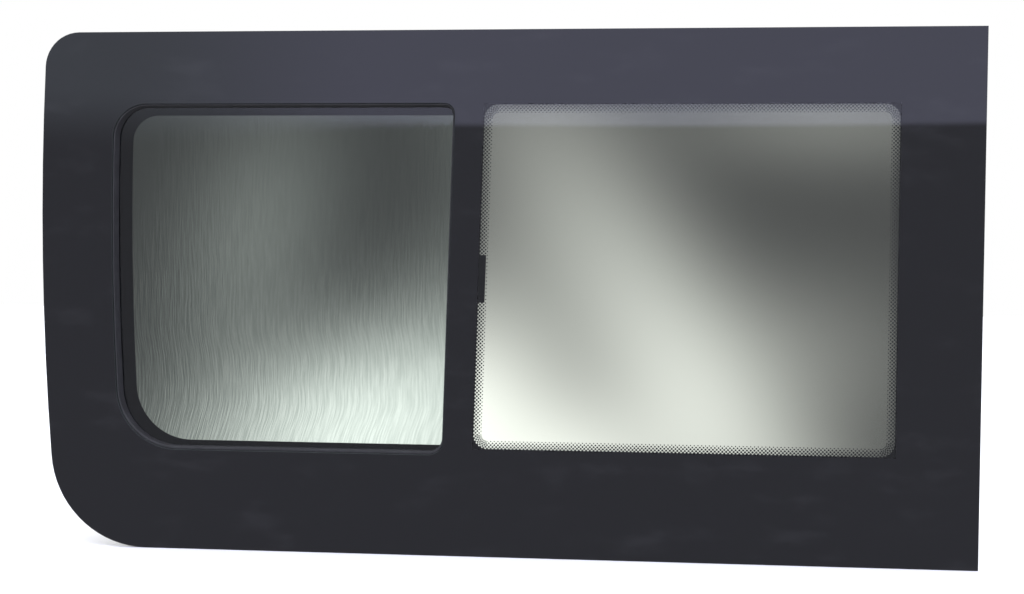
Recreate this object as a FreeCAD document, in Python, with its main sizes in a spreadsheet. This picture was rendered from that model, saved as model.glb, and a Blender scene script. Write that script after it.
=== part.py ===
import FreeCAD, Part
import os
import Sketcher

# A bonded half-slider side window of a van, in millimetres.
# X runs along the window as seen from outside, Y points into the vehicle and Z is up.
# The origin is on the bonding face, at the middle of the lower bonding band.

doc = FreeCAD.newDocument("sliding_van_window")
sheet = doc.addObject("Spreadsheet::Sheet", "sizes")

tolerance = 0.01  # how near a corner's edge lies to its sketch point

sizeTable = [
    ("panel_width", 1150.0),
    ("panel_height", 643.0),
    ("panel_bow_radius", 3940.0),
    ("panel_upper_radius", 44.0),
    ("panel_lower_radius", 122.0),
    ("bow_height", 380.0),
    ("glass_thick", 5.0),
    ("print_thick", 0.4),
    ("bond_width", 30.0),
    ("opening_left", 90.0),
    ("opening_top", 88.8),
    ("opening_bottom", 124.5),
    ("opening_upper_radius", 43.0),
    ("opening_lower_radius", 77.0),
    ("opening_post_upper_radius", 13.0),
    ("opening_post_lower_radius", 19.0),
    ("post_place", 516.3),
    ("post_width", 36.0),
    ("post_slant", 0.0295),
    ("post_height", 378.0),
    ("clear_right", 98.6),
    ("clear_top", 90.2),
    ("clear_bottom", 132.7),
    ("clear_radius", 17.0),
    ("patch_width", 8.0),
    ("patch_height", 58.0),
    ("patch_middle", 326.0),
    ("seal_width", 4.0),
    ("seal_recess", 1.0),
    ("seal_fit", 0.2),
    ("seal_gap", 0.5),
    ("bead_thick", 3.0),
    ("bead_width", 10.0),
    ("rail_wall", 2.0),
    ("rail_base", 3.0),
    ("rail_height", 22.0),
    ("rail_slot", 12.0),
    ("rail_reveal", 3.0),
    ("rail_end", 70.0),
    ("jamb_width", 20.0),
    ("slider_thick", 4.0),
    ("slider_grip", 10.0),
    ("slider_corner_radius", 12.0),
    ("slider_margin_left", 20.2),
    ("slider_margin_top", 13.3),
    ("slider_margin_bottom", 10.2),
    ("slider_clear_upper_radius", 33.0),
    ("slider_clear_lower_radius", 71.0),
    ("slider_print_edge", 9.0),
    ("glide_length", 40.0),
    ("glide_grip", 6.0),
    ("glide_place", 60.0),
    ("glide_fit", 0.4),
    ("stile_width", 22.0),
    ("stile_web", 2.0),
    ("stile_front", 1.0),
    ("stile_back", 5.0),
    ("stile_inset", 6.0),
    ("stile_end_gap", 5.5),
    ("latch_width", 34.0),
    ("latch_depth", 10.0),
    ("latch_height", 54.0),
    ("latch_radius", 5.0),
    ("lever_width", 18.0),
    ("lever_depth", 7.0),
    ("lever_height", 40.0),
    ("lever_radius", 4.0),
    ("keeper_width", 13.0),
    ("keeper_thick", 3.0),
    ("keeper_height", 42.0),
    ("keeper_place", 8.0),
    ("travel", 425.0),
    ("stop_length", 25.0),
    ("stop_gap", 1.0),
]

for row, (alias, value) in enumerate(sizeTable, 1):
    sheet.set(f"A{row}", alias)
    sheet.set(f"B{row}", str(value))
    sheet.setAlias(f"B{row}", alias)
doc.recompute()


class Size:
    """A number together with the expression that ties it to the sheet."""

    def __init__(self, text, value):
        self.text = text
        self.value = value

    def join(self, sign, other, value, swap=False):
        pair = (lift(other).text, self.text) if swap else (self.text, lift(other).text)
        return Size(f"({pair[0]} {sign} {pair[1]})", value)

    def __add__(self, other):
        return self.join("+", other, self.value + lift(other).value)

    def __radd__(self, other):
        return self.join("+", other, lift(other).value + self.value, True)

    def __sub__(self, other):
        return self.join("-", other, self.value - lift(other).value)

    def __rsub__(self, other):
        return self.join("-", other, lift(other).value - self.value, True)

    def __mul__(self, other):
        return self.join("*", other, self.value * lift(other).value)

    def __rmul__(self, other):
        return self.join("*", other, lift(other).value * self.value, True)

    def __truediv__(self, other):
        return self.join("/", other, self.value / lift(other).value)

    def __neg__(self):
        return Size(f"(-1 * {self.text})", -self.value)


def lift(number):
    return number if isinstance(number, Size) else Size(repr(float(number)), float(number))


class Sheet:
    """Each alias of the sheet as a Size, by attribute."""

    def __getattr__(self, alias):
        return Size(f"sizes.{alias}", float(sheet.get(alias)))


s = Sheet()


def originPlane(body, role):
    return next(f for f in body.Origin.OriginFeatures if f.Role == role)


def drawLoop(sketch, corners, bows):
    """One closed loop, corner by corner, anticlockwise; bows: an edge's outward bulge radius."""
    points = [FreeCAD.Vector(u.value, v.value, 0) for u, v in corners]
    count = len(points)
    first = sketch.GeometryCount
    for index, start in enumerate(points):
        end = points[(index + 1) % count]
        if index in bows:
            chord = end - start
            outward = FreeCAD.Vector(chord.y, -chord.x, 0).normalize()
            rise = chord.Length**2 / (8 * bows[index].value)
            middle = (start + end) * 0.5 + outward * rise
            sketch.addGeometry(Part.Arc(start, middle, end), False)
        else:
            sketch.addGeometry(Part.LineSegment(start, end), False)
    for index in range(count):
        sketch.addConstraint(
            Sketcher.Constraint("Coincident", first + index, 2, first + (index + 1) % count, 1)
        )
    for index, (u, v) in enumerate(corners):
        for kind, size in (("DistanceX", u), ("DistanceY", v)):
            place = sketch.addConstraint(
                Sketcher.Constraint(kind, -1, 1, first + index, 1, size.value)
            )
            sketch.setExpression(f"Constraints[{place}]", size.text)
    for index, radius in bows.items():
        place = sketch.addConstraint(Sketcher.Constraint("Radius", first + index, radius.value))
        sketch.setExpression(f"Constraints[{place}]", radius.text)


def addSketch(body, name, role, offset, corners, bows=None):
    sketch = body.newObject("Sketcher::SketchObject", name)
    sketch.AttachmentSupport = (originPlane(body, role), "")
    sketch.MapMode = "FlatFace"
    sketch.setExpression("AttachmentOffset.Base.z", offset.text)
    drawLoop(sketch, corners, bows or {})
    doc.recompute()
    return sketch


def cornerEdges(shape, corners, chosen):
    """Names of the straight edges along Y that pass through the chosen corners."""
    names = []
    for index in chosen:
        u, v = corners[index][0].value, corners[index][1].value
        for place, edge in enumerate(shape.Edges, 1):
            ends = [vertex.Point for vertex in edge.Vertexes]
            on = all(abs(p.x - u) < tolerance and abs(p.z - v) < tolerance for p in ends)
            if len(ends) == 2 and on:
                names.append(f"Edge{place}")
    return names


def roundCorners(body, feature, corners, radii):
    for index, radius in radii.items():
        names = cornerEdges(feature.Shape, corners, [index])
        fillet = body.newObject("PartDesign::Fillet", f"{body.Name}_round")
        fillet.Base = (feature, names)
        fillet.setExpression("Radius", radius.text)
        doc.recompute()
        feature = fillet
    return feature


def addPad(body, sketch, length, reverse):
    pad = body.newObject("PartDesign::Pad", f"{body.Name}_pad")
    pad.Profile = sketch
    pad.Reversed = reverse
    pad.setExpression("Length", length.text)
    doc.recompute()
    return pad


def addPocket(body, sketch, length):
    before = body.Shape.Volume
    pocket = body.newObject("PartDesign::Pocket", f"{body.Name}_cut")
    pocket.Profile = sketch
    pocket.setExpression("Length", length.text)
    doc.recompute()
    if body.Shape.Volume > before - 1:
        raise ValueError(f"a pocket of {body.Label} cuts nothing")
    return pocket


def newBody(name):
    body = doc.addObject("PartDesign::Body", name)
    body.Label = name
    return body


def plate(name, corners, yFrom, thick, bows=None, radii=None, cuts=()):
    """A flat piece in the plane of the window, with each cut taken right through it."""
    body = newBody(name)
    sketch = addSketch(body, f"{name}_outline", "XZ_Plane", -yFrom, corners, bows)
    feature = addPad(body, sketch, thick, True)
    for cutCorners, cutBows, cutRadii in cuts:
        sketch = addSketch(body, f"{name}_hole", "XZ_Plane", -yFrom, cutCorners, cutBows)
        feature = addPocket(body, sketch, thick)
        feature = roundCorners(body, feature, cutCorners, cutRadii)
    roundCorners(body, feature, corners, radii or {})
    return body


def runAlong(name, role, section, start, length):
    """A straight extrusion of a section, along X from the YZ plane or along Z from the XY plane."""
    body = newBody(name)
    sketch = addSketch(body, f"{name}_section", role, start, section)
    addPad(body, sketch, length, False)
    return body


def block(name, xFrom, xTo, yFrom, yTo, zFrom, zTo):
    box = doc.addObject("Part::Box", name)
    box.Label = name
    for prop, size in (("Length", xTo - xFrom), ("Width", yTo - yFrom), ("Height", zTo - zFrom)):
        box.setExpression(prop, size.text)
    for axis, size in (("x", xFrom), ("y", yFrom), ("z", zFrom)):
        box.setExpression(f"Placement.Base.{axis}", size.text)
    return box


def channelUp(uFrom, uTo, vFrom, vTo, wall, base):
    """A U section that is open towards +v."""
    return [
        (uFrom, vFrom),
        (uTo, vFrom),
        (uTo, vTo),
        (uTo - wall, vTo),
        (uTo - wall, vFrom + base),
        (uFrom + wall, vFrom + base),
        (uFrom + wall, vTo),
        (uFrom, vTo),
    ]


def channelDown(uFrom, uTo, vFrom, vTo, wall, base):
    """A U section that is open towards -v."""
    return [
        (uFrom, vFrom),
        (uFrom + wall, vFrom),
        (uFrom + wall, vTo - base),
        (uTo - wall, vTo - base),
        (uTo - wall, vFrom),
        (uTo, vFrom),
        (uTo, vTo),
        (uFrom, vTo),
    ]


def channelSide(uFrom, uTo, vFrom, vTo, wall, base):
    """A U section that is open towards +u."""
    return [
        (uFrom, vFrom),
        (uTo, vFrom),
        (uTo, vFrom + wall),
        (uFrom + base, vFrom + wall),
        (uFrom + base, vTo - wall),
        (uTo, vTo - wall),
        (uTo, vTo),
        (uFrom, vTo),
    ]


# The panel's edges.
panelLeft = -s.panel_width / 2
panelRight = s.panel_width / 2
panelBottom = -s.bond_width / 2
panelTop = panelBottom + s.panel_height

# Depths, from the outer face inwards. The print's back is the bonding face, at zero.
zero = lift(0)
printFront = -s.print_thick
glassFront = printFront - s.glass_thick
railFront = s.bead_thick
slotFront = railFront + s.rail_wall
slotBack = slotFront + s.rail_slot
railBack = slotBack + s.rail_wall
sliderFront = (slotFront + slotBack) / 2 - s.slider_thick / 2
sliderBack = sliderFront + s.slider_thick

# Heights of the opening, the rails and the sliding pane.
openingTop = panelTop - s.opening_top
openingBottom = panelBottom + s.opening_bottom
openingLeft = panelLeft + s.opening_left
clearTop = panelTop - s.clear_top
clearBottom = panelBottom + s.clear_bottom
clearRight = panelRight - s.clear_right
upperLip = openingTop + s.rail_reveal
upperTop = upperLip + s.rail_height
lowerLip = openingBottom - s.rail_reveal
lowerBottom = lowerLip - s.rail_height
sliderTop = upperLip + s.slider_grip
sliderBottom = lowerLip - s.slider_grip
jambLip = openingLeft - s.rail_reveal
frameLeft = jambLip - s.rail_height
frameRight = panelRight - s.rail_end
sliderLeft = jambLip - s.slider_grip


def postX(place, height):
    """X on a line parallel to the slanted post, place to the right of its edge at the opening."""
    return panelLeft + s.post_place + place + s.post_slant * (height - s.post_height)


def bowX(left, radius, height):
    """X on the bowed left edge, which stands furthest out at the bow's height."""
    rise = height - s.bow_height
    return left + rise * rise / (2 * radius)


def bowedOutline(inset):
    """The panel's outline, moved inwards by inset, with the radii that keep its corners parallel."""
    left, right = panelLeft + inset, panelRight - inset
    bottom, top = panelBottom + inset, panelTop - inset
    radius = s.panel_bow_radius - inset
    corners = [
        (bowX(left, radius, bottom), bottom),
        (right, bottom),
        (right, top),
        (bowX(left, radius, top), top),
    ]
    return corners, {3: radius}, {0: s.panel_lower_radius - inset, 3: s.panel_upper_radius - inset}


def openingOutline(inset):
    """The cut opening, moved inwards by inset."""
    left, bottom, top = openingLeft + inset, openingBottom + inset, openingTop - inset
    radius = s.panel_bow_radius - s.opening_left - inset
    corners = [
        (bowX(left, radius, bottom), bottom),
        (postX(-inset, bottom), bottom),
        (postX(-inset, top), top),
        (bowX(left, radius, top), top),
    ]
    radii = {
        0: s.opening_lower_radius - inset,
        1: s.opening_post_lower_radius - inset,
        2: s.opening_post_upper_radius - inset,
        3: s.opening_upper_radius - inset,
    }
    return corners, {3: radius}, radii


def clearOutline():
    """The unprinted zone of the fixed glass, with the latch patch left standing at the post."""
    patchLow = s.patch_middle - s.patch_height / 2
    patchHigh = s.patch_middle + s.patch_height / 2
    edge, patch = s.post_width, s.post_width + s.patch_width
    corners = [
        (postX(edge, clearBottom), clearBottom),
        (clearRight, clearBottom),
        (clearRight, clearTop),
        (postX(edge, clearTop), clearTop),
        (postX(edge, patchHigh), patchHigh),
        (postX(patch, patchHigh), patchHigh),
        (postX(patch, patchLow), patchLow),
        (postX(edge, patchLow), patchLow),
    ]
    return corners, {}, {index: s.clear_radius for index in range(4)}


def makeGlass():
    """The outer glass and the black print behind it, whose outer band is the bonding face."""
    corners, bows, radii = bowedOutline(zero)
    band = bowedOutline(s.bond_width)
    plate("outer_glass", corners, glassFront, s.glass_thick, bows, radii, [openingOutline(zero)])
    plate("bonding_band", corners, printFront, s.print_thick, bows, radii, [band])
    holes = [openingOutline(zero), clearOutline()]
    plate("printed_border", band[0], printFront, s.print_thick, band[1], band[2], holes)


def makeSeal():
    """The rubber ring that lines the cut opening and reaches back to the sliding pane."""
    corners, bows, radii = openingOutline(s.seal_fit)
    front = glassFront + s.seal_recess
    depth = sliderFront - s.seal_gap - front
    plate("opening_seal", corners, front, depth, bows, radii, [openingOutline(s.seal_width)])


def makeFrame():
    """Rails, jambs and the adhesive beads that hold them to the print."""
    wall, base = s.rail_wall, s.rail_base
    length = frameRight - frameLeft
    upper = channelDown(railFront, railBack, upperLip, upperTop, wall, base)
    lower = channelUp(railFront, railBack, lowerBottom, lowerLip, wall, base)
    runAlong("upper_rail", "YZ_Plane", upper, frameLeft, length)
    runAlong("lower_rail", "YZ_Plane", lower, frameLeft, length)
    closing = channelSide(frameLeft, jambLip, railFront, railBack, wall, base)
    endLeft = frameRight - s.jamb_width
    end = channelSide(endLeft, frameRight, railFront, railBack, wall, base)
    runAlong("closing_jamb", "XY_Plane", closing, lowerLip, upperLip - lowerLip)
    runAlong("end_jamb", "XY_Plane", end, lowerLip, upperLip - lowerLip)
    sealTo = sliderLeft - s.seal_gap
    block("closing_seal", frameLeft + base, sealTo, slotFront, slotBack, lowerLip, upperLip)
    upperMid, lowerMid = (upperLip + upperTop) / 2, (lowerLip + lowerBottom) / 2
    half = s.bead_width / 2
    block("upper_bead", frameLeft, frameRight, zero, railFront, upperMid - half, upperMid + half)
    block("lower_bead", frameLeft, frameRight, zero, railFront, lowerMid - half, lowerMid + half)
    closingMid, endMid = (frameLeft + jambLip) / 2, (endLeft + frameRight) / 2
    block("closing_bead", closingMid - half, closingMid + half, zero, railFront, lowerLip, upperLip)
    block("end_bead", endMid - half, endMid + half, zero, railFront, lowerLip, upperLip)


stileLeft = s.stile_inset
stileRight = s.stile_inset + s.stile_width
sliderRight = stileRight - s.stile_web


def makeSlider():
    """The sliding glass, its print, its pull stile, its glides and its latch."""
    corners = [
        (sliderLeft, sliderBottom),
        (postX(sliderRight, sliderBottom), sliderBottom),
        (postX(sliderRight, sliderTop), sliderTop),
        (sliderLeft, sliderTop),
    ]
    radii = {0: s.slider_corner_radius, 3: s.slider_corner_radius}
    plate("sliding_glass", corners, sliderFront, s.slider_thick, {}, radii)

    edge = s.slider_print_edge
    printCorners = [
        (sliderLeft + edge, sliderBottom + edge),
        (postX(stileLeft, sliderBottom + edge), sliderBottom + edge),
        (postX(stileLeft, sliderTop - edge), sliderTop - edge),
        (sliderLeft + edge, sliderTop - edge),
    ]
    viewLeft = openingLeft + s.slider_margin_left
    viewTop, viewBottom = openingTop - s.slider_margin_top, openingBottom + s.slider_margin_bottom
    bow = s.panel_bow_radius - s.opening_left - s.slider_margin_left
    past = stileLeft + s.stile_width
    view = [
        (bowX(viewLeft, bow, viewBottom), viewBottom),
        (postX(past, viewBottom), viewBottom),
        (postX(past, viewTop), viewTop),
        (bowX(viewLeft, bow, viewTop), viewTop),
    ]
    viewRadii = {0: s.slider_clear_lower_radius, 3: s.slider_clear_upper_radius}
    plate("slider_print", printCorners, sliderBack, s.print_thick, {}, {}, [(view, {3: bow}, viewRadii)])

    stileLow, stileHigh = lowerLip + s.stile_end_gap, upperLip - s.stile_end_gap
    stile = newBody("pull_stile")
    outline = [
        (postX(stileLeft, stileLow), stileLow),
        (postX(stileRight, stileLow), stileLow),
        (postX(stileRight, stileHigh), stileHigh),
        (postX(stileLeft, stileHigh), stileHigh),
    ]
    slot = [
        (postX(stileLeft, stileLow), stileLow),
        (postX(sliderRight, stileLow), stileLow),
        (postX(sliderRight, stileHigh), stileHigh),
        (postX(stileLeft, stileHigh), stileHigh),
    ]
    stileFront = sliderFront - s.stile_front
    stileDepth = s.stile_front + s.slider_thick + s.stile_back
    addPad(stile, addSketch(stile, "stile_outline", "XZ_Plane", -stileFront, outline), stileDepth, True)
    addPocket(stile, addSketch(stile, "stile_slot", "XZ_Plane", -sliderFront, slot), s.slider_thick)

    makeGlides()
    makeLatch(stileFront + stileDepth)


def makeGlides():
    """Four shoes that grip the pane's upper and lower edges and run in the rails."""
    front, back = slotFront + s.glide_fit, slotBack - s.glide_fit
    wall = (back - front - s.slider_thick) / 2
    lowFrom, lowTo = lowerBottom + s.rail_base + s.glide_fit, sliderBottom + s.glide_grip
    highFrom, highTo = sliderTop - s.glide_grip, upperTop - s.rail_base - s.glide_fit
    lower = channelUp(front, back, lowFrom, lowTo, wall, sliderBottom - lowFrom)
    upper = channelDown(front, back, highFrom, highTo, wall, highTo - sliderTop)
    leading = sliderLeft + s.glide_place
    for level, section, height in (("lower", lower, sliderBottom), ("upper", upper, sliderTop)):
        trailing = postX(sliderRight - s.glide_place - s.glide_length, height)
        runAlong(f"{level}_leading_glide", "YZ_Plane", section, leading, s.glide_length)
        runAlong(f"{level}_trailing_glide", "YZ_Plane", section, trailing, s.glide_length)


def makeLatch(stileBack):
    """The latch on the stile, and its keeper on the print behind the patch."""

    def slanted(place, width, height):
        low, high = s.patch_middle - height / 2, s.patch_middle + height / 2
        return [
            (postX(place, low), low),
            (postX(place + width, low), low),
            (postX(place + width, high), high),
            (postX(place, high), high),
        ]

    every = range(4)
    body = slanted(stileLeft, s.latch_width, s.latch_height)
    plate("latch_body", body, stileBack, s.latch_depth, {}, {i: s.latch_radius for i in every})
    inset = (s.latch_width - s.lever_width) / 2
    lever = slanted(stileLeft + inset, s.lever_width, s.lever_height)
    leverFrom = stileBack + s.latch_depth
    plate("latch_lever", lever, leverFrom, s.lever_depth, {}, {i: s.lever_radius for i in every})
    keeper = slanted(s.post_width - s.keeper_place, s.keeper_width, s.keeper_height)
    plate("latch_keeper", keeper, zero, s.keeper_thick)


def makeStops():
    """Rubber stops in the rails that meet the pane's trailing edge at the end of its travel."""
    front, back = slotFront + s.glide_fit, slotBack - s.glide_fit
    reach = s.travel + s.stop_gap
    low = postX(sliderRight, lowerLip) + reach
    high = postX(sliderRight, sliderTop) + reach
    base = lowerBottom + s.rail_base
    roof = upperTop - s.rail_base
    block("lower_stop", low, low + s.stop_length, front, back, base, lowerLip)
    block("upper_stop", high, high + s.stop_length, front, back, upperLip, roof)


makeGlass()
makeSeal()
makeFrame()
makeSlider()
makeStops()
doc.recompute()

pieces = [o for o in doc.Objects if o.TypeId in ("PartDesign::Body", "Part::Box")]
for item in doc.Objects:
    if "Invalid" in item.State or "Error" in item.State:
        raise ValueError(f"{item.Label} did not recompute")
for piece in pieces:
    if piece.Shape.isNull() or not piece.Shape.isValid() or len(piece.Shape.Solids) != 1:
        raise ValueError(f"{piece.Label} is not one valid solid")

os.makedirs("parts", exist_ok=True)
for piece in pieces:
    piece.Shape.exportStep(f"parts/{piece.Label}.step")
    print(piece.Label, round(piece.Shape.Volume), "mm3")
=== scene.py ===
import math
import bpy
from mathutils import Matrix, Vector


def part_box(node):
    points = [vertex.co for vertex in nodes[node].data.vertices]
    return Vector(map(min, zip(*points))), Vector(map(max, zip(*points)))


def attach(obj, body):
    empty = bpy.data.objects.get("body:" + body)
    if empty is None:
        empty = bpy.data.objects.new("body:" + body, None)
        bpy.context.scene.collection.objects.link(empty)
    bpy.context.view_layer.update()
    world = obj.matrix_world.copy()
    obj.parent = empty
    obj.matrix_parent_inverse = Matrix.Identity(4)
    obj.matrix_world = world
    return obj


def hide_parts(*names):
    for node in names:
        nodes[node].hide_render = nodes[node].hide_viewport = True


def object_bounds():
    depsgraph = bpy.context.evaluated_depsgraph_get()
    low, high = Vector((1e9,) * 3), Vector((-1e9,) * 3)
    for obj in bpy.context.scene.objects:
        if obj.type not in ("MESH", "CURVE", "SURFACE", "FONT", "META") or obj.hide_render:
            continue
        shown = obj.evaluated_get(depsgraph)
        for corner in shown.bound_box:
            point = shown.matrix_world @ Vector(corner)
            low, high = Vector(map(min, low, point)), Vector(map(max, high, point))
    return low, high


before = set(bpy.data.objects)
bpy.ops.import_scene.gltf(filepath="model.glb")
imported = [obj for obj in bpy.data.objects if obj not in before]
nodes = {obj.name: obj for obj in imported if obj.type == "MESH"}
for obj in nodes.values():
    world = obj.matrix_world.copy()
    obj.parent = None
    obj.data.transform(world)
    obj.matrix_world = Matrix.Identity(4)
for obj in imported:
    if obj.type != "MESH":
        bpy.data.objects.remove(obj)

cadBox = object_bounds()
mm = 0.001


# Shader maths: a wrapped socket takes the usual operators
class Socket:
    def __init__(self, graph, socket):
        self.graph = graph
        self.socket = socket

    def maths(self, operation, *others):
        inputs = dict(enumerate((self, *others)))
        return self.graph.add("ShaderNodeMath", {"operation": operation}, inputs).out(0)

    def __add__(self, other):
        return self.maths("ADD", other)

    __radd__ = __add__

    def __sub__(self, other):
        return self.maths("SUBTRACT", other)

    def __rsub__(self, other):
        return self.graph.value(other).maths("SUBTRACT", self)

    def __mul__(self, other):
        return self.maths("MULTIPLY", other)

    def __truediv__(self, other):
        return self.maths("DIVIDE", other)

    def __gt__(self, other):
        return self.maths("GREATER_THAN", other)


class Node:
    def __init__(self, graph, node):
        self.graph = graph
        self.node = node

    def out(self, name):
        return Socket(self.graph, self.node.outputs[name])


# places of the colour sockets on a Mix node
mixSockets = {"factor": 0, "first": 6, "second": 7, "result": 2}


class Graph:
    def __init__(self, tree):
        self.tree = tree
        tree.nodes.clear()

    def add(self, kind, settings=None, inputs=None):
        node = self.tree.nodes.new(kind)
        for name, setting in (settings or {}).items():
            setattr(node, name, setting)
        for name, given in (inputs or {}).items():
            self.feed(node.inputs[name], given)
        return Node(self, node)

    def feed(self, target, given):
        if isinstance(given, Socket):
            self.tree.links.new(given.socket, target)
        else:
            target.default_value = given

    def value(self, number):
        node = self.add("ShaderNodeValue")
        node.node.outputs[0].default_value = number
        return node.out(0)

    def step(self, number, low, high):
        inputs = {"Value": number, "From Min": low, "From Max": high}
        settings = {"interpolation_type": "SMOOTHSTEP"}
        return self.add("ShaderNodeMapRange", settings, inputs).out("Result")

    def blend(self, factor, first, second):
        m = mixSockets
        inputs = {m["factor"]: factor, m["first"]: rgba(first), m["second"]: rgba(second)}
        return self.add("ShaderNodeMix", {"data_type": "RGBA"}, inputs).out(m["result"])


class Finish(Graph):
    # one Principled material on Object coordinates
    def __init__(self, name, **fixed):
        self.material = bpy.data.materials.new(name)
        self.material.use_nodes = True
        super().__init__(self.material.node_tree)
        self.place = self.add("ShaderNodeTexCoord").out("Object")
        self.shader = self.add("ShaderNodeBsdfPrincipled")
        self.add("ShaderNodeOutputMaterial", None, {"Surface": self.shader.out("BSDF")})
        self.set(**fixed)

    def set(self, **given):
        for name, value in given.items():
            self.feed(self.shader.node.inputs[name.replace("_", " ")], value)

    def stretched(self, scale):
        return self.add("ShaderNodeMapping", None, {"Vector": self.place, "Scale": scale}).out("Vector")

    def noise(self, scale, detail=3.0, rough=0.5, vector=None):
        inputs = {"Vector": vector or self.place, "Scale": scale, "Detail": detail, "Roughness": rough}
        return self.add("ShaderNodeTexNoise", None, inputs).out("Fac")

    def bump(self, height, strength, distance):
        inputs = {"Height": height, "Strength": strength, "Distance": distance}
        self.set(Normal=self.add("ShaderNodeBump", None, inputs).out("Normal"))


def rgba(colour):
    # a plain colour gets its alpha; a socket passes as it is
    return colour if isinstance(colour, Socket) else (*colour, 1.0)


# Materials

printedGlassLook = {
    "base": (0.004, 0.004, 0.0052),
    "haze": (0.010, 0.010, 0.0115),
    "index": 1.52,
    "roughness": 0.012,
    "smear": 0.05,
    "smearNoise": {"scale": 9.0, "detail": 4.0, "rough": 0.6},
    "smearStretch": (1.0, 1.0, 3.0),
    "smearRange": (0.52, 0.75),
    "fineNoise": {"scale": 240.0, "detail": 2.0},
}


def makePrintedGlass():
    # glossy glass with the black print fused behind it, and faint wiping smears
    look = printedGlassLook
    finish = Finish("printed glass", IOR=look["index"])
    smear = finish.noise(**look["smearNoise"], vector=finish.stretched(look["smearStretch"]))
    patches = finish.step(smear, *look["smearRange"])
    finish.set(Base_Color=finish.blend(patches, look["base"], look["haze"]))
    fine = finish.noise(**look["fineNoise"])
    finish.set(Roughness=look["roughness"] + patches * fine * look["smear"])
    return finish.material


clearGlassLook = {
    "tint": (0.75, 0.785, 0.72),
    "tintLow": (0.72, 0.755, 0.695),
    "index": 1.52,
    "driftNoise": {"scale": 3.0, "detail": 2.0},
}


def makeClearGlass():
    # lightly tinted glass, the tint drifting a little over the sheet
    look = clearGlassLook
    finish = Finish("clear glass", IOR=look["index"], Transmission_Weight=1.0, Roughness=0.0)
    drift = finish.noise(**look["driftNoise"])
    finish.set(Base_Color=finish.blend(drift, look["tint"], look["tintLow"]))
    return finish.material


# the leans and the calm each act over a range of heights
sliderGlassLook = {
    "tint": (0.505, 0.565, 0.525),
    "streak": (0.385, 0.44, 0.405),
    "index": 1.5,
    "wave": 0.25,
    "waveDepth": 0.4 * mm,
    "sway": 8 * mm,
    "swayNoise": {"scale": 7.0, "detail": 2.0, "rough": 0.5},
    "swayStretch": (0.6, 1.0, 2.4),
    "streakNoise": {"scale": 420.0, "detail": 3.0, "rough": 0.6},
    "streakSquash": 0.05,
    "streakRange": (0.3, 0.7),
    "lowLean": {"range": (0.085, 0.18), "by": 0.019},
    "highLean": {"range": (0.21, 0.275), "by": 0.007},
    "calm": {"range": (0.27, 0.46), "by": 0.62},
}


def makeSliderGlass():
    # green glass with darker upright streaks in its tint and a matching bump, the streaks stronger and
    # leaning low down
    look = sliderGlassLook
    finish = Finish("slider glass", IOR=look["index"], Transmission_Weight=1.0, Roughness=0.0)
    split = finish.add("ShaderNodeSeparateXYZ", None, {"Vector": finish.place})
    height = split.out("Z")

    def rising(name):
        return finish.step(height, *look[name]["range"]) * look[name]["by"]

    sway = finish.noise(**look["swayNoise"], vector=finish.stretched(look["swayStretch"]))
    across = split.out("X") + sway * look["sway"] - rising("lowLean") + rising("highLean")
    lines = finish.add("ShaderNodeCombineXYZ", None, {"X": across, "Z": height * look["streakSquash"]})
    streaks = finish.noise(**look["streakNoise"], vector=lines.out("Vector"))
    depth = 1.0 - rising("calm")
    mixed = (finish.step(streaks, *look["streakRange"]) - 0.5) * depth + 0.5
    finish.set(Base_Color=finish.blend(mixed, look["tint"], look["streak"]))
    finish.bump(streaks * depth, look["wave"], look["waveDepth"])
    return finish.material


edgeLook = {
    "base": (0.008, 0.012, 0.010),
    "grind": (0.018, 0.024, 0.021),
    "index": 1.5,
    "roughness": 0.28,
    "spread": 0.2,
    "grindNoise": {"scale": 900.0, "detail": 3.0},
    "relief": 0.15,
    "reliefDepth": 0.2 * mm,
}


def makeGlassEdge():
    # ground arris, a satin green-black
    look = edgeLook
    finish = Finish("ground edge", IOR=look["index"])
    grind = finish.noise(**look["grindNoise"])
    finish.set(Base_Color=finish.blend(grind, look["base"], look["grind"]))
    finish.set(Roughness=look["roughness"] + grind * look["spread"])
    finish.bump(grind, look["relief"], look["reliefDepth"])
    return finish.material


# what the plain surfaces share; the mottle's scale is a share of the grain's
plainLook = {
    "mottleScale": 0.08,
    "mottleNoise": {"detail": 4.0, "rough": 0.6},
    "mottleRange": (0.35, 0.75),
    "grainDetail": 2.0,
    "reliefDepth": 0.2 * mm,
}


def makePlain(name, base, worn, roughness, spread, scale, relief, shine=0.5):
    # a plain moulded, coated or printed surface: mottled colour, uneven gloss and a fine grain
    look = plainLook
    finish = Finish(name, Specular_IOR_Level=shine)
    mottle = finish.noise(scale * look["mottleScale"], **look["mottleNoise"])
    grain = finish.noise(scale, look["grainDetail"])
    finish.set(Base_Color=finish.blend(finish.step(mottle, *look["mottleRange"]), base, worn))
    finish.set(Roughness=roughness + (mottle - 0.5) * spread)
    finish.bump(grain, relief, look["reliefDepth"])
    return finish.material


drawnLook = {
    "base": (0.016, 0.016, 0.017),
    "worn": (0.026, 0.026, 0.028),
    "metal": 0.35,
    "roughness": 0.34,
    "spread": 0.14,
    "lineNoise": {"scale": 700.0, "detail": 3.0, "rough": 0.6},
    "mottleNoise": {"scale": 30.0, "detail": 3.0},
    "mottleRange": (0.3, 0.8),
    "relief": 0.12,
    "reliefDepth": 0.1 * mm,
}


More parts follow.
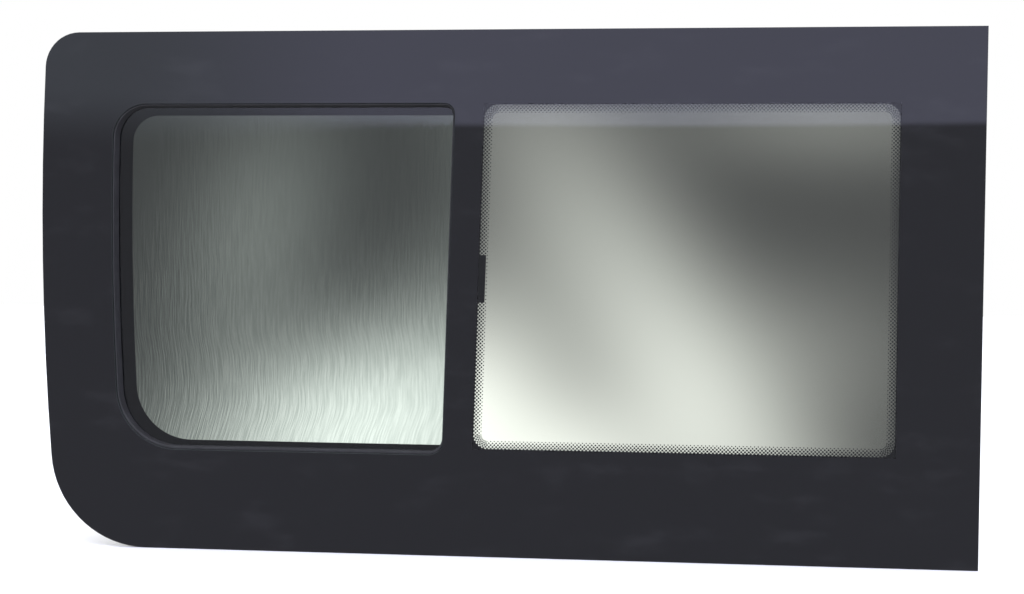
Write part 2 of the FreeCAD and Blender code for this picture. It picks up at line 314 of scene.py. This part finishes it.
def makeDrawn(name, along):
    # anodised extrusion with faint die lines along its length
    look = drawnLook
    finish = Finish(name, Metallic=look["metal"])
    lines = finish.noise(**look["lineNoise"], vector=finish.stretched(along))
    mottle = finish.noise(**look["mottleNoise"])
    worn = finish.step(mottle, *look["mottleRange"])
    finish.set(Base_Color=finish.blend(worn, look["base"], look["worn"]))
    finish.set(Roughness=look["roughness"] + (lines - 0.5) * look["spread"])
    finish.bump(lines, look["relief"], look["reliefDepth"])
    return finish.material


firedPrintLook = {
    "base": (0.010, 0.010, 0.012),
    "worn": (0.015, 0.015, 0.018),
    "roughness": 0.5,
    "spread": 0.2,
    "scale": 900.0,
    "relief": 0.1,
    "shine": 0.0,
}
sealRubberLook = {
    "base": (0.025, 0.025, 0.026),
    "worn": (0.035, 0.035, 0.036),
    "roughness": 0.6,
    "spread": 0.2,
    "scale": 1200.0,
    "relief": 0.2,
    "shine": 0.25,
}
adhesiveLook = {
    "base": (0.012, 0.012, 0.012),
    "worn": (0.02, 0.02, 0.02),
    "roughness": 0.55,
    "spread": 0.3,
    "scale": 300.0,
    "relief": 0.5,
}
glideNylonLook = {
    "base": (0.035, 0.035, 0.035),
    "worn": (0.05, 0.05, 0.05),
    "roughness": 0.45,
    "spread": 0.2,
    "scale": 800.0,
    "relief": 0.15,
}
latchPlasticLook = {
    "base": (0.018, 0.018, 0.018),
    "worn": (0.028, 0.028, 0.028),
    "roughness": 0.4,
    "spread": 0.2,
    "scale": 1600.0,
    "relief": 0.4,
}
keeperSteelLook = {
    "base": (0.02, 0.02, 0.02),
    "worn": (0.03, 0.03, 0.03),
    "roughness": 0.35,
    "spread": 0.2,
    "scale": 700.0,
    "relief": 0.15,
}
screwSteelLook = {
    "base": (0.05, 0.05, 0.05),
    "worn": (0.08, 0.08, 0.08),
    "roughness": 0.32,
    "spread": 0.2,
    "scale": 900.0,
    "relief": 0.1,
}

print("materials")
printedGlass = makePrintedGlass()
clearGlass = makeClearGlass()
sliderGlass = makeSliderGlass()
glassEdge = makeGlassEdge()
blackPrint = makePlain("fired print", **firedPrintLook)
sealRubber = makePlain("seal rubber", **sealRubberLook)
adhesive = makePlain("cured adhesive", **adhesiveLook)
glideNylon = makePlain("glide nylon", **glideNylonLook)
latchPlastic = makePlain("latch plastic", **latchPlasticLook)
keeperSteel = makePlain("coated steel", **keeperSteelLook)
screwSteel = makePlain("screw steel", **screwSteelLook)
railFinish = makeDrawn("anodised rail", (0.02, 1.0, 1.0))
jambFinish = makeDrawn("anodised jamb", (1.0, 1.0, 0.02))


# Modelling helpers

# sharp and flat are cosines of angles between normals
meshSizes = {
    "merge": 0.02 * mm,
    "tolerance": 0.01 * mm,
    "sharp": 0.6,
    "flat": 0.99,
}


def deselect():
    bpy.ops.object.select_all(action="DESELECT")


def choose(*pieces):
    # selects these pieces alone, the first one active
    deselect()
    for piece in pieces:
        piece.select_set(True)
    bpy.context.view_layer.objects.active = pieces[0]


def clearSelection(kind):
    # nothing selected inside the active mesh, ready for picking edges or faces
    bpy.ops.object.mode_set(mode="EDIT")
    bpy.ops.mesh.select_mode(type=kind)
    bpy.ops.mesh.select_all(action="DESELECT")
    bpy.ops.object.mode_set(mode="OBJECT")


def takeCopy(nodeName, name):
    # a working copy of a CAD node, merged into one closed mesh
    source = nodes[nodeName]
    mesh = source.data.copy()
    mesh.transform(source.matrix_world)
    mesh.materials.clear()
    piece = bpy.data.objects.new(name, mesh)
    bpy.context.scene.collection.objects.link(piece)
    choose(piece)
    bpy.ops.object.mode_set(mode="EDIT")
    bpy.ops.mesh.select_all(action="SELECT")
    bpy.ops.mesh.remove_doubles(threshold=meshSizes["merge"])
    bpy.ops.mesh.tris_convert_to_quads()
    bpy.ops.mesh.normals_make_consistent(inside=False)
    bpy.ops.object.mode_set(mode="OBJECT")
    return piece


def inPlane(point, depth):
    return abs(point.co.y - depth) < meshSizes["tolerance"]


def bevelRims(piece, depths, width, segments):
    # rounds the rims of a flat piece that lie in the planes y = depths
    normalsBeside = {}
    for face in piece.data.polygons:
        for key in face.edge_keys:
            normalsBeside.setdefault(key, []).append(face.normal)
    clearSelection("EDGE")
    points = piece.data.vertices
    for edge in piece.data.edges:
        normals = normalsBeside.get(edge.key, [])
        sharp = len(normals) == 2 and normals[0].dot(normals[1]) < meshSizes["sharp"]
        ends = [points[index] for index in edge.vertices]
        rim = any(all(inPlane(end, depth) for end in ends) for depth in depths)
        edge.select = sharp and rim
    bpy.ops.object.mode_set(mode="EDIT")
    bpy.ops.mesh.bevel(offset=width, segments=segments, affect="EDGES", clamp_overlap=True)
    bpy.ops.object.mode_set(mode="OBJECT")


def makeSheet(nodeName, name, sizes):
    # a glass sheet with ground rims, its back face moved on so that the print's face is set into it
    low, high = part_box(nodeName)
    piece = takeCopy(nodeName, name)
    bevelRims(piece, (low[1], high[1]), sizes["arris"], sizes["segments"])
    for point in piece.data.vertices:
        if inPlane(point, high[1]):
            point.co.y += sizes["overlap"]
    return piece


def paintSheet(piece, looks, faceLook):
    # the rims take the last look, and faceLook picks one for each flat face
    for look in looks:
        piece.data.materials.append(look)
    for face in piece.data.polygons:
        flat = abs(face.normal.y) > meshSizes["flat"]
        face.material_index = looks.index(faceLook(face) if flat else looks[-1])


def smooth(piece, angle):
    choose(piece)
    bpy.ops.object.shade_smooth_by_angle(angle=math.radians(angle))


def finishPiece(piece, body, slot, *replaced):
    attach(piece, body)
    if replaced:
        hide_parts(*replaced)


# The outer panel: its border is glossy black, and its clear zone is let in as see-through faces

panelSizes = {
    "arris": 0.7 * mm,
    "segments": 2,
    "overlap": 0.05 * mm,
    "postLine": -58.7 * mm,
    "postSlant": 0.0295,
    "postHeight": 378 * mm,
    "postWidth": 36 * mm,
    "clearRight": 476.4 * mm,
    "clearTop": 537.8 * mm,
    "clearBottom": 117.7 * mm,
    "clearRadius": 17 * mm,
    "patchWidth": 8 * mm,
    "patchLow": 297 * mm,
    "patchHigh": 355 * mm,
    "margin": 0.6 * mm,
}


def postX(place, height):
    p = panelSizes
    return p["postLine"] + place + p["postSlant"] * (height - p["postHeight"])


def makePanel():
    p = panelSizes
    piece = makeSheet("outer_glass", "panel_glass", p)
    left = postX(p["postWidth"] - p["margin"], 0)
    cuts = [
        ((left, 0, 0), (-1, 0, p["postSlant"])),
        ((p["clearRight"] + p["margin"], 0, 0), (1, 0, 0)),
        ((0, 0, p["clearTop"] + p["margin"]), (0, 0, 1)),
        ((0, 0, p["clearBottom"] - p["margin"]), (0, 0, -1)),
    ]
    choose(piece)
    bpy.ops.object.mode_set(mode="EDIT")
    for place, normal in cuts:
        bpy.ops.mesh.select_all(action="SELECT")
        bpy.ops.mesh.bisect(plane_co=place, plane_no=normal)
    bpy.ops.object.mode_set(mode="OBJECT")

    def faceLook(face):
        inside = all((face.center - Vector(place)).dot(Vector(normal)) < 0 for place, normal in cuts)
        return clearGlass if inside else printedGlass

    paintSheet(piece, [printedGlass, clearGlass, glassEdge], faceLook)
    finishPiece(piece, "panel", "panel_glass", "outer_glass")


# The frit dots: staggered rows that follow the clear zone's edge and shrink inwards

dotSizes = {
    "pitch": 4.5 * mm,
    "rowStep": 2.25 * mm,
    "firstRow": 0.4 * mm,
    "radii": (1.48 * mm, 1.36 * mm, 1.26 * mm, 1.10 * mm, 0.78 * mm),
    "stagger": 0.5,
    "sides": 10,
    "front": -0.34 * mm,
    "thick": 0.14 * mm,
}


def clearEdge():
    # the clear zone's four corners as arcs (centre, first arm, turn), anticlockwise from the lower left
    p = panelSizes
    low, high, right = p["clearBottom"], p["clearTop"], p["clearRight"]
    corners = [
        Vector((postX(p["postWidth"], low), low)),
        Vector((right, low)),
        Vector((right, high)),
        Vector((postX(p["postWidth"], high), high)),
    ]
    arcs = []
    for index, corner in enumerate(corners):
        before = (corners[index - 1] - corner).normalized()
        after = (corners[(index + 1) % len(corners)] - corner).normalized()
        half = before.angle(after) / 2
        centre = corner + (before + after).normalized() * (p["clearRadius"] / math.sin(half))
        arm = (corner + before * (p["clearRadius"] / math.tan(half)) - centre).normalized()
        arcs.append((centre, arm, math.pi - 2 * half))
    return arcs


def turned(arm, angle):
    return Matrix.Rotation(angle, 2) @ arm


def dotRow(inset, shift):
    # one row: the same steps on every straight run and arc, so that neighbouring rows stay staggered
    pitch, reach = dotSizes["pitch"], panelSizes["clearRadius"] - inset
    arcs = clearEdge()
    for (centre, arm, turn), (nextCentre, nextArm, _) in zip(arcs, arcs[1:] + arcs[:1]):
        steps = round(panelSizes["clearRadius"] * turn / pitch)
        for step in range(steps):
            yield centre + turned(arm, turn * (step + shift) / steps) * reach
        start = centre + turned(arm, turn) * reach
        end = nextCentre + nextArm * reach
        steps = round((end - start).length / pitch)
        for step in range(steps):
            yield start.lerp(end, (step + shift) / steps)


def dotCentres():
    d, p = dotSizes, panelSizes
    for row, radius in enumerate(d["radii"]):
        for spot in dotRow(d["firstRow"] + row * d["rowStep"], d["stagger"] * (row % 2)):
            inPatch = p["patchLow"] < spot.y < p["patchHigh"]
            if not (inPatch and spot.x < postX(p["postWidth"] + p["patchWidth"], spot.y)):
                yield spot, radius


def makeDots():
    # a unit disc, copied to every place at its row's size
    d = dotSizes
    deselect()
    bpy.ops.mesh.primitive_cylinder_add(vertices=d["sides"], radius=1.0, depth=1.0)
    model = bpy.context.object
    bpy.ops.object.mode_set(mode="EDIT")
    bpy.ops.mesh.select_all(action="SELECT")
    bpy.ops.transform.rotate(value=math.pi / 2, orient_axis="X", center_override=(0, 0, 0))
    bpy.ops.object.mode_set(mode="OBJECT")
    corners = [v.co.copy() for v in model.data.vertices]
    faces = [tuple(f.vertices) for f in model.data.polygons]
    bpy.data.objects.remove(model)
    points, polygons = [], []
    middle = d["front"] + d["thick"] / 2
    for spot, radius in dotCentres():
        first = len(points)
        for c in corners:
            points.append((spot.x + c.x * radius, middle + c.y * d["thick"], spot.y + c.z * radius))
        polygons += [tuple(first + i for i in face) for face in faces]
    mesh = bpy.data.meshes.new("frit_dots")
    mesh.from_pydata(points, [], polygons)
    mesh.materials.append(blackPrint)
    piece = bpy.data.objects.new("frit_dots", mesh)
    bpy.context.scene.collection.objects.link(piece)
    finishPiece(piece, "panel", "black_print")
    print("frit dots", len(points) // len(corners))


# The sliding pane and the rubber round the opening

paneSizes = {"arris": 0.6 * mm, "segments": 2, "overlap": 0.05 * mm}


def makePane():
    piece = makeSheet("sliding_glass", "sliding_pane", paneSizes)
    paintSheet(piece, [sliderGlass, glassEdge], lambda face: sliderGlass)
    finishPiece(piece, "slider", "slider_glass", "sliding_glass")


# wall is the most that a wall's normal leans to the front or back
sealSizes = {"round": 0.95 * mm, "segments": 3, "slope": 2.0 * mm, "wall": 0.1, "smoothing": 40}


def makeSeal():
    # the lip slopes down to the pane, except along the sill, where its face stays full
    s = sealSizes
    low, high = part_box("opening_seal")
    piece = takeCopy("opening_seal", "opening_rubber")
    middle = (Vector(low) + Vector(high)) / 2
    leanings = {}
    for face in piece.data.polygons:
        inward = middle - face.center
        if abs(face.normal.y) < s["wall"] and face.normal.dot(inward) > 0:
            for index in face.vertices:
                leanings[index] = leanings.get(index, Vector()) + face.normal
    for index, leaning in leanings.items():
        point = piece.data.vertices[index]
        if inPlane(point, low[1]):
            leaning = leaning.normalized()
            point.co -= leaning * s["slope"] * (1 - max(0.0, leaning.z))
    bevelRims(piece, (low[1],), s["round"], s["segments"])
    piece.data.materials.append(sealRubber)
    piece.visible_glossy = False
    smooth(piece, s["smoothing"])
    finishPiece(piece, "panel", "seal_rubber", "opening_seal")


# Screw heads on the inside: three down each jamb and two on the latch

# a head's rise, recess, depth and round are shares of its radius; upward marks its top face
screwSizes = {
    "jambRadius": 3.4 * mm,
    "latchRadius": 2.2 * mm,
    "rise": 0.5,
    "recess": 0.45,
    "depth": 0.3,
    "round": 0.22,
    "roundSegments": 3,
    "upward": 0.9,
    "sides": 20,
    "smoothing": 35,
    "jambGap": 16 * mm,
    "latchGap": 3.4 * mm,
}


def makeScrew(x, y, z, radius):
    # a low round head with a round recess, facing +Y from the plane y
    c = screwSizes
    deselect()
    rise = radius * c["rise"]
    bpy.ops.mesh.primitive_cylinder_add(vertices=c["sides"], radius=radius, depth=rise)
    head = bpy.context.object
    clearSelection("FACE")
    for face in head.data.polygons:
        face.select = face.normal.z > c["upward"]
    bpy.ops.object.mode_set(mode="EDIT")
    bpy.ops.mesh.bevel(offset=radius * c["round"], segments=c["roundSegments"], affect="EDGES")
    bpy.ops.mesh.inset(thickness=radius * c["recess"])
    bpy.ops.mesh.extrude_region_move(TRANSFORM_OT_translate={"value": (0, 0, -radius * c["depth"])})
    bpy.ops.object.mode_set(mode="OBJECT")
    facing = Matrix.Rotation(-math.pi / 2, 4, "X")
    head.data.transform(Matrix.Translation((x, y + rise / 2, z)) @ facing)
    return head


def screwColumn(nodeName, radius, gap, middle=False):
    # heads up the middle of a node's inner face: one a gap in from each end, and one halfway if asked
    low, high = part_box(nodeName)
    heights = [low[2] + gap, high[2] - gap]
    if middle:
        heights.insert(1, (low[2] + high[2]) / 2)
    return [makeScrew((low[0] + high[0]) / 2, high[1], z, radius) for z in heights]


def joinScrews(heads, name, body):
    choose(*heads)
    bpy.ops.object.join()
    joined = bpy.context.object
    joined.name = name
    joined.data.materials.clear()
    joined.data.materials.append(screwSteel)
    smooth(joined, screwSizes["smoothing"])
    finishPiece(joined, body, "keeper_steel")


def makeScrews():
    c = screwSizes
    heads = []
    for jamb in ("closing_jamb", "end_jamb"):
        heads += screwColumn(jamb, c["jambRadius"], c["jambGap"], middle=True)
    joinScrews(heads, "frame_screws", "panel")
    joinScrews(screwColumn("latch_body", c["latchRadius"], c["latchGap"]), "latch_screws", "slider")


# CAD nodes that stay: a soft arris by modifiers, and their finishes

nodeFinishes = {
    "bonding_band": blackPrint,
    "printed_border": blackPrint,
    "slider_print": blackPrint,
    "upper_rail": railFinish,
    "lower_rail": railFinish,
    "closing_jamb": jambFinish,
    "end_jamb": jambFinish,
    "pull_stile": jambFinish,
    "closing_seal": sealRubber,
    "upper_stop": sealRubber,
    "lower_stop": sealRubber,
    "upper_bead": adhesive,
    "lower_bead": adhesive,
    "closing_bead": adhesive,
    "end_bead": adhesive,
    "latch_body": latchPlastic,
    "latch_lever": latchPlastic,
    "latch_keeper": keeperSteel,
    "lower_leading_glide": glideNylon,
    "lower_trailing_glide": glideNylon,
    "upper_leading_glide": glideNylon,
    "upper_trailing_glide": glideNylon,
}
softEdges = {
    "upper_rail": 0.4 * mm,
    "lower_rail": 0.4 * mm,
    "closing_jamb": 0.4 * mm,
    "end_jamb": 0.4 * mm,
    "pull_stile": 0.45 * mm,
    "latch_body": 1.6 * mm,
    "latch_lever": 1.4 * mm,
    "latch_keeper": 0.5 * mm,
}
arrisSizes = {"segments": 3, "angle": 40}


def dressNodes():
    for name, material in nodeFinishes.items():
        node = nodes[name]
        node.data.materials.clear()
        node.data.materials.append(material)
        if name in softEdges:
            weld = node.modifiers.new("weld", "WELD")
            weld.merge_threshold = meshSizes["merge"]
            bevel = node.modifiers.new("arris", "BEVEL")
            bevel.width = softEdges[name]
            bevel.segments = arrisSizes["segments"]
            bevel.limit_method = "ANGLE"
            bevel.angle_limit = math.radians(arrisSizes["angle"])


print("panel")
makePanel()
print("dots")
makeDots()
print("pane and seal")
makePane()
makeSeal()
print("screws")
makeScrews()
print("nodes")
dressNodes()


# Stage: pale floor, soft light, and surroundings that the glass shows

floorSizes = {
    "gap": 0.2 * mm,
    "span": 12.0,
    "colour": (0.93, 0.93, 0.93),
    "worn": (0.9, 0.9, 0.9),
    "mottle": 0.02,
    "mottleNoise": {"scale": 2.0, "detail": 2.0},
    "roughness": 0.9,
}


def makeFloor():
    s = floorSizes
    level = cadBox[0][2] - s["gap"]
    deselect()
    bpy.ops.mesh.primitive_plane_add(size=s["span"], location=(0, 0, level))
    floor = bpy.context.object
    floor.name = "floor"
    finish = Finish("floor", Roughness=s["roughness"], Specular_IOR_Level=0.0)
    mottle = finish.noise(**s["mottleNoise"])
    finish.set(Base_Color=finish.blend(mottle * s["mottle"], s["colour"], s["worn"]))
    floor.data.materials.append(finish.material)
    floor.visible_glossy = False
    floor.visible_transmission = False


# the skyline and the ranges are measured on a unit direction
worldLook = {
    "skylineRise": 0.0736,
    "skylineSharp": 0.0025,
    "skylineSoft": 0.022,
    "softRange": (0.15, 0.36),
    "upperFront": (1.40, 1.43, 1.90),
    "upperLeft": (0.98, 1.06, 1.22),
    "leftRange": (0.18, 0.36),
    "lowerFront": (0.49, 0.50, 0.56),
    "shade": 0.054,
    "fill": 1.1,
    "fillRange": (0.16, 0.5),
    "behindTint": (1.0, 1.0, 0.985),
    "backdrop": (1.0, 1.0, 1.0),
}
# soft pools of light behind the window, by the view's direction across and up
lightPools = {
    "groundGlow": {"strength": 1.8, "place": (-0.20, -0.13), "spread": (0.07, 0.04), "turn": 0.3},
    "leaningBeam": {"strength": 0.75, "place": (0.03, -0.12), "spread": (0.037, 0.15), "turn": 0.55},
    "postHaze": {"strength": 0.25, "place": (-0.12, -0.06), "spread": (0.04, 0.05), "turn": 0.0},
    "sillGlow": {"strength": 1.2, "place": (-0.07, -0.165), "spread": (0.055, 0.04), "turn": 0.0},
    "rightHaze": {"strength": 0.2, "place": (0.08, -0.08), "spread": (0.06, 0.04), "turn": 0.0},
    "topGlow": {"strength": 0.18, "place": (0.11, 0.08), "spread": (0.07, 0.025), "turn": 0.0},
    "leftHaze": {"strength": 0.28, "place": (-0.27, -0.01), "spread": (0.033, 0.065), "turn": -0.3},
}


def poolLight(x, z, strength, place, spread, turn):
    # a turned oval that fades as a bell curve
    across = x - place[0]
    up = z - place[1]
    u = (across * math.cos(turn) + up * math.sin(turn)) / spread[0]
    v = (up * math.cos(turn) - across * math.sin(turn)) / spread[1]
    return ((u * u + v * v) * -0.5).maths("EXPONENT") * strength


def makeWorld():
    s = worldLook
    world = bpy.data.worlds.new("studio")
    bpy.context.scene.world = world
    world.use_nodes = True
    g = Graph(world.node_tree)
    way = g.add("ShaderNodeTexCoord").out("Generated")
    split = g.add("ShaderNodeSeparateXYZ", None, {"Vector": way})
    x, y, z = (split.out(axis) for axis in "XYZ")
    left = 0 - x
    # in front of the window: bright above a skyline, dimmer below it, and softer and dimmer to the left
    soft = s["skylineSharp"] + g.step(left, *s["softRange"]) * (s["skylineSoft"] - s["skylineSharp"])
    above = g.step(z, s["skylineRise"] - soft, s["skylineRise"] + soft)
    upper = g.blend(g.step(left, *s["leftRange"]), s["upperFront"], s["upperLeft"])
    front = g.blend(above, s["lowerFront"], upper)
    # behind it: soft pools of light on an even shade
    level = g.value(s["shade"])
    for pool in lightPools.values():
        level = level + poolLight(x, z, **pool)
    # and more light high up, so that the inside is lit too
    level = level + g.step(z, *s["fillRange"]) * s["fill"]
    tint = g.add("ShaderNodeVectorMath", {"operation": "SCALE"}, {0: s["behindTint"], "Scale": level})
    around = g.blend(y > 0, front, tint.out("Vector"))
    seen = g.add("ShaderNodeLightPath").out("Is Camera Ray")
    colour = g.blend(seen, around, s["backdrop"])
    background = g.add("ShaderNodeBackground", None, {"Color": colour, "Strength": 1.0})
    g.add("ShaderNodeOutputWorld", None, {"Surface": background.out("Background")})


lampSizes = {"place": (0.5, -1.0, 4.0), "angle": 70.0, "strength": 1.6, "colour": (1.0, 0.985, 0.94)}


def makeLamp():
    # a broad, even light from above, out of the panes' mirror directions
    bpy.ops.object.light_add(type="SUN", location=lampSizes["place"])
    lamp = bpy.context.object
    lamp.data.angle = math.radians(lampSizes["angle"])
    lamp.data.energy = lampSizes["strength"]
    lamp.data.color = lampSizes["colour"]
    aim = Vector((0, 0, 0)) - Vector(lampSizes["place"])
    lamp.rotation_euler = aim.to_track_quat("-Z", "Y").to_euler()


cameraPlace = {
    "place": (0.201, -1.8173, 0.3781),
    "turn": 0.1012,
    "tilt": -0.0404,
    "roll": 0.0068,
    "focalPixels": 1500.0,
    "imageWidth": 1024,
    "sensor": 36.0,
}


def makeCamera():
    c = cameraPlace
    data = bpy.data.cameras.new("camera")
    data.sensor_width = c["sensor"]
    data.lens = c["sensor"] * c["focalPixels"] / c["imageWidth"]
    camera = bpy.data.objects.new("camera", data)
    bpy.context.scene.collection.objects.link(camera)
    turn = Matrix.Rotation(c["turn"], 4, "Z")
    tilt = Matrix.Rotation(math.pi / 2 + c["tilt"], 4, "X")
    roll = Matrix.Rotation(c["roll"], 4, "Z")
    camera.matrix_world = Matrix.Translation(c["place"]) @ turn @ tilt @ roll
    bpy.context.scene.camera = camera


print("stage")
makeFloor()
makeWorld()
makeLamp()
makeCamera()
bpy.context.scene.view_settings.view_transform = "Standard"
